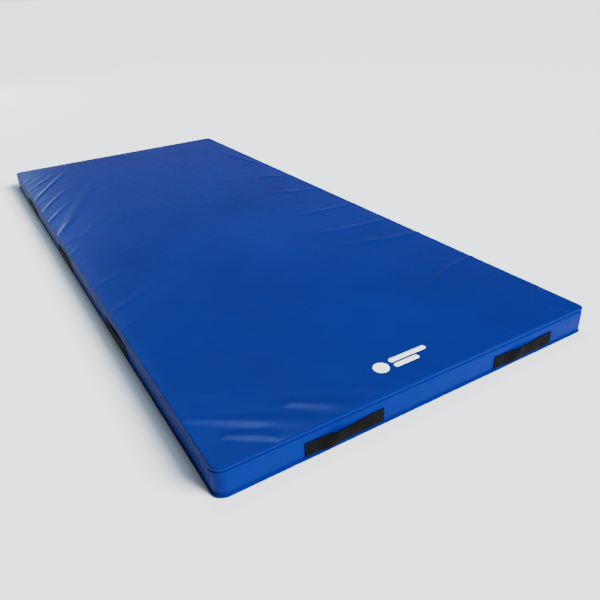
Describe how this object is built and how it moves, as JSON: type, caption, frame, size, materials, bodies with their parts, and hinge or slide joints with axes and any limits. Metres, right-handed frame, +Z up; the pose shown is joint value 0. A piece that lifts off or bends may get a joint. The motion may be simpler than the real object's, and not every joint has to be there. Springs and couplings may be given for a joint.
{
  "type": "gym mat",
  "caption": "One-piece gym mat: layered foam in a sewn vinyl cover with webbing carrying handles on every side and a long zip.",
  "frame": {"origin": "on the floor under the middle of the mat", "axes": "+Z up, X across the width, Y along the length; the mat lies flat with its landing face up"},
  "size_m": [0.9252, 2.1452, 0.065],
  "materials": {
    "vinyl": "semi-gloss PVC-coated polyester, fine grain",
    "foam_core": "bonded chip foam, mottled",
    "foam_top": "closed-cell polyethylene foam",
    "anti_slip": "matt dimpled anti-slip coating",
    "webbing": "woven polypropylene webbing",
    "backing": "coated cloth patch",
    "zip_tape": "woven polyester tape",
    "zip_coil": "nylon coil",
    "zip_metal": "zinc alloy, plated"
  },
  "bodies": {
    "mat": {"foam_base_slab": "foam_core", "foam_top_layer": "foam_top", "top_panel": "vinyl", "base_panel": "vinyl", "anti_slip_sheet": "anti_slip", "side_band_near": "vinyl", "side_band_left": "vinyl", "side_band_far": "vinyl", "side_band_right": "vinyl", "backing_patches_near": "backing", "backing_patches_left": "backing", "backing_patches_far": "backing", "backing_patches_right": "backing", "zip_tape_upper": "zip_tape", "zip_tape_lower": "zip_tape", "zip_coil_upper": "zip_coil", "zip_coil_lower": "zip_coil", "zip_stops": "zip_metal", "handle_near_1_sewn_ends": "webbing", "handle_near_1_legs": "webbing", "handle_near_2_sewn_ends": "webbing", "handle_near_2_legs": "webbing", "handle_left_1_sewn_ends": "webbing", "handle_left_1_legs": "webbing", "handle_left_2_sewn_ends": "webbing", "handle_left_2_legs": "webbing", "handle_left_3_sewn_ends": "webbing", "handle_left_3_legs": "webbing", "handle_far_1_sewn_ends": "webbing", "handle_far_1_legs": "webbing", "handle_far_2_sewn_ends": "webbing", "handle_far_2_legs": "webbing", "handle_right_1_sewn_ends": "webbing", "handle_right_1_legs": "webbing", "handle_right_2_sewn_ends": "webbing", "handle_right_2_legs": "webbing", "handle_right_3_sewn_ends": "webbing", "handle_right_3_legs": "webbing"},
    "handle_near_1": {"handle_near_1_grip": "webbing"},
    "handle_near_2": {"handle_near_2_grip": "webbing"},
    "handle_left_1": {"handle_left_1_grip": "webbing"},
    "handle_left_2": {"handle_left_2_grip": "webbing"},
    "handle_left_3": {"handle_left_3_grip": "webbing"},
    "handle_far_1": {"handle_far_1_grip": "webbing"},
    "handle_far_2": {"handle_far_2_grip": "webbing"},
    "handle_right_1": {"handle_right_1_grip": "webbing"},
    "handle_right_2": {"handle_right_2_grip": "webbing"},
    "handle_right_3": {"handle_right_3_grip": "webbing"},
    "zip_slider": {"zip_slider": "zip_metal"},
    "zip_puller": {"zip_puller": "zip_metal"}
  },
  "joints": [
    {"name": "handle_near_1_pull", "type": "slide", "parent": "mat", "child": "handle_near_1", "axis": [0, -1, 0], "range_m": [-0.0015, 0.014], "stiffness_N_per_m": 15, "deforming": ["handle_near_1_legs"]},
    {"name": "handle_near_2_pull", "type": "slide", "parent": "mat", "child": "handle_near_2", "axis": [0, -1, 0], "range_m": [-0.0015, 0.014], "stiffness_N_per_m": 15, "deforming": ["handle_near_2_legs"]},
    {"name": "handle_left_1_pull", "type": "slide", "parent": "mat", "child": "handle_left_1", "axis": [-1, 0, 0], "range_m": [-0.0015, 0.014], "stiffness_N_per_m": 15, "deforming": ["handle_left_1_legs"]},
    {"name": "handle_left_2_pull", "type": "slide", "parent": "mat", "child": "handle_left_2", "axis": [-1, 0, 0], "range_m": [-0.0015, 0.014], "stiffness_N_per_m": 15, "deforming": ["handle_left_2_legs"]},
    {"name": "handle_left_3_pull", "type": "slide", "parent": "mat", "child": "handle_left_3", "axis": [-1, 0, 0], "range_m": [-0.0015, 0.014], "stiffness_N_per_m": 15, "deforming": ["handle_left_3_legs"]},
    {"name": "handle_far_1_pull", "type": "slide", "parent": "mat", "child": "handle_far_1", "axis": [0, 1, 0], "range_m": [-0.0015, 0.014], "stiffness_N_per_m": 15, "deforming": ["handle_far_1_legs"]},
    {"name": "handle_far_2_pull", "type": "slide", "parent": "mat", "child": "handle_far_2", "axis": [0, 1, 0], "range_m": [-0.0015, 0.014], "stiffness_N_per_m": 15, "deforming": ["handle_far_2_legs"]},
    {"name": "handle_right_1_pull", "type": "slide", "parent": "mat", "child": "handle_right_1", "axis": [1, 0, 0], "range_m": [-0.0015, 0.014], "stiffness_N_per_m": 15, "deforming": ["handle_right_1_legs"]},
    {"name": "handle_right_2_pull", "type": "slide", "parent": "mat", "child": "handle_right_2", "axis": [1, 0, 0], "range_m": [-0.0015, 0.014], "stiffness_N_per_m": 15, "deforming": ["handle_right_2_legs"]},
    {"name": "handle_right_3_pull", "type": "slide", "parent": "mat", "child": "handle_right_3", "axis": [1, 0, 0], "range_m": [-0.0015, 0.014], "stiffness_N_per_m": 15, "deforming": ["handle_right_3_legs"]},
    {"name": "zip_travel", "type": "slide", "parent": "mat", "child": "zip_slider", "axis": [0, 1, 0], "range_m": [-1.888, 0]},
    {"name": "zip_puller_swing", "type": "hinge", "parent": "zip_slider", "child": "zip_puller", "pos_m": [0.4582, 0.944, 0.0528], "axis": [0, 0, 1], "range_deg": [0, 180]}
  ]
}
